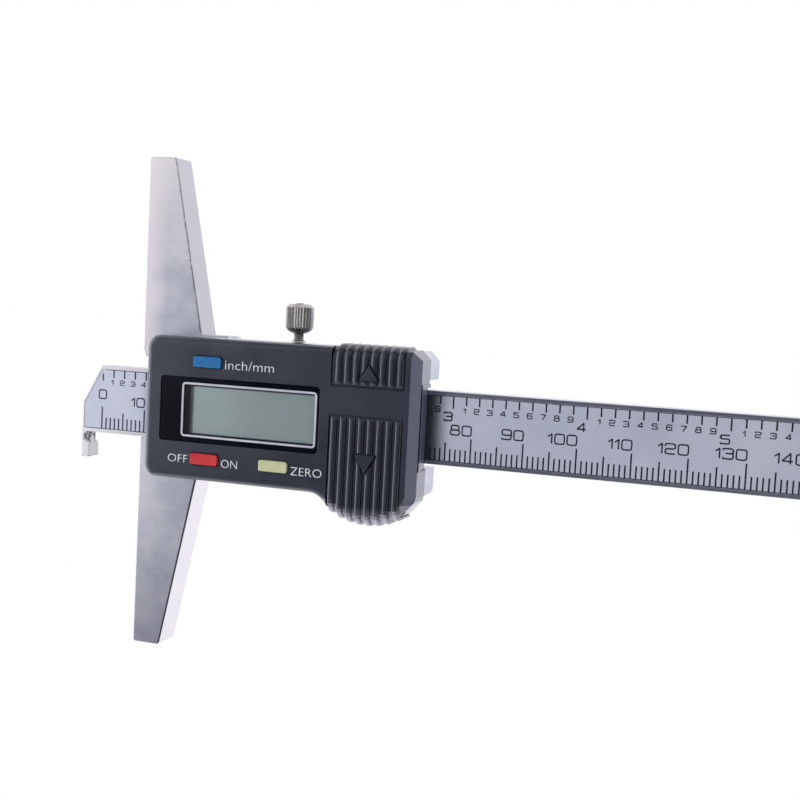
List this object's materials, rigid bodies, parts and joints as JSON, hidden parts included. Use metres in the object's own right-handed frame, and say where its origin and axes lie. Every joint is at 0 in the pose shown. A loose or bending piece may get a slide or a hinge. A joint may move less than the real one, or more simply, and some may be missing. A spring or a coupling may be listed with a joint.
{
  "type": "depth gauge",
  "caption": "Slim digital depth gauge with a T-shaped measuring base, a hooked sliding beam with a printed scale, a display housing and a lock screw.",
  "frame": {"origin": "middle of the gauge's length and of its base, on the plane that its back lies on", "axes": "+X along the beam from the hook to the far end, +Y along the base towards the lock screw, +Z from the back to the display"},
  "size_m": [0.2176, 0.1, 0.0135],
  "materials": {
    "ground_steel": "surface ground stainless steel, fine grinding lines along the beam",
    "rail_steel": "finely ground stainless steel",
    "plate_steel": "satin sheet steel",
    "screw_steel": "plated screw steel",
    "knob_steel": "knurled, dark nickel plating",
    "gib_brass": "plain brass",
    "contact_nickel": "nickel plated",
    "cover_plastic": "dark blue-grey moulded plastic, fine grain",
    "bezel_plastic": "black gloss sheet",
    "trim_silver": "silver printed frame",
    "clear_plastic": "clear polished window",
    "panel_glass": "grey-green reflective display",
    "board_resin": "green board with solder mask",
    "chip_resin": "black moulded resin",
    "rubber_grey": "striped contact rubber",
    "label_film": "silver-grey printed film",
    "stop_plastic": "moulded plastic",
    "unit_blue": "blue rubbery plastic",
    "power_red": "red rubbery plastic",
    "zero_yellow": "pale yellow rubbery plastic"
  },
  "bodies": {
    "housing": {"base_frame": "ground_steel", "gib_strip": "gib_brass", "gib_screw_1": "screw_steel", "gib_screw_2": "screw_steel", "lock_bush": "knob_steel", "back_plate": "plate_steel", "housing_screw_left_upper": "screw_steel", "housing_screw_left_lower": "screw_steel", "housing_screw_right_upper": "screw_steel", "housing_screw_right_lower": "screw_steel", "front_cover": "cover_plastic", "display_bezel": "bezel_plastic", "display_trim": "trim_silver", "display_window": "clear_plastic", "lcd_panel": "panel_glass", "lcd_connector_upper": "rubber_grey", "lcd_connector_lower": "rubber_grey", "circuit_board": "board_resin", "measuring_chip": "chip_resin", "data_socket": "chip_resin", "unit_button_dome": "contact_nickel", "power_button_dome": "contact_nickel", "zero_button_dome": "contact_nickel", "battery": "contact_nickel", "battery_side_contact": "contact_nickel", "battery_base_contact": "contact_nickel"},
    "measuring_beam": {"beam": "rail_steel", "scale_stator": "board_resin", "scale_label": "label_film", "end_stop": "stop_plastic", "stop_screw_1": "screw_steel", "stop_screw_2": "screw_steel"},
    "locking_screw": {"lock_screw": "knob_steel"},
    "unit_key": {"unit_button": "unit_blue"},
    "power_key": {"power_button": "power_red"},
    "zero_key": {"zero_button": "zero_yellow"},
    "battery_door": {"battery_cover": "cover_plastic"},
    "port_door": {"port_cover": "cover_plastic"}
  },
  "joints": [
    {"name": "beam_slide", "type": "slide", "parent": "housing", "child": "measuring_beam", "axis": [-1, 0, 0], "range_m": [-0.012, 0.137]},
    {"name": "lock_screw_turn", "type": "hinge", "parent": "housing", "child": "locking_screw", "pos_m": [-0.06145, 0, 0.00355], "axis": [0, 1, 0], "range_deg": [0, 360]},
    {"name": "unit_press", "type": "slide", "parent": "housing", "child": "unit_key", "axis": [0, 0, -1], "range_m": [0, 0.0003], "stiffness_N_per_m": 800, "springref_m": -0.0003},
    {"name": "power_press", "type": "slide", "parent": "housing", "child": "power_key", "axis": [0, 0, -1], "range_m": [0, 0.0003], "stiffness_N_per_m": 800, "springref_m": -0.0003},
    {"name": "zero_press", "type": "slide", "parent": "housing", "child": "zero_key", "axis": [0, 0, -1], "range_m": [0, 0.0003], "stiffness_N_per_m": 800, "springref_m": -0.0003},
    {"name": "battery_door_slide", "type": "slide", "parent": "housing", "child": "battery_door", "axis": [0, -1, 0], "range_m": [0, 0.012]},
    {"name": "port_door_slide", "type": "slide", "parent": "housing", "child": "port_door", "axis": [0, 1, 0], "range_m": [0, 0.0055]}
  ]
}
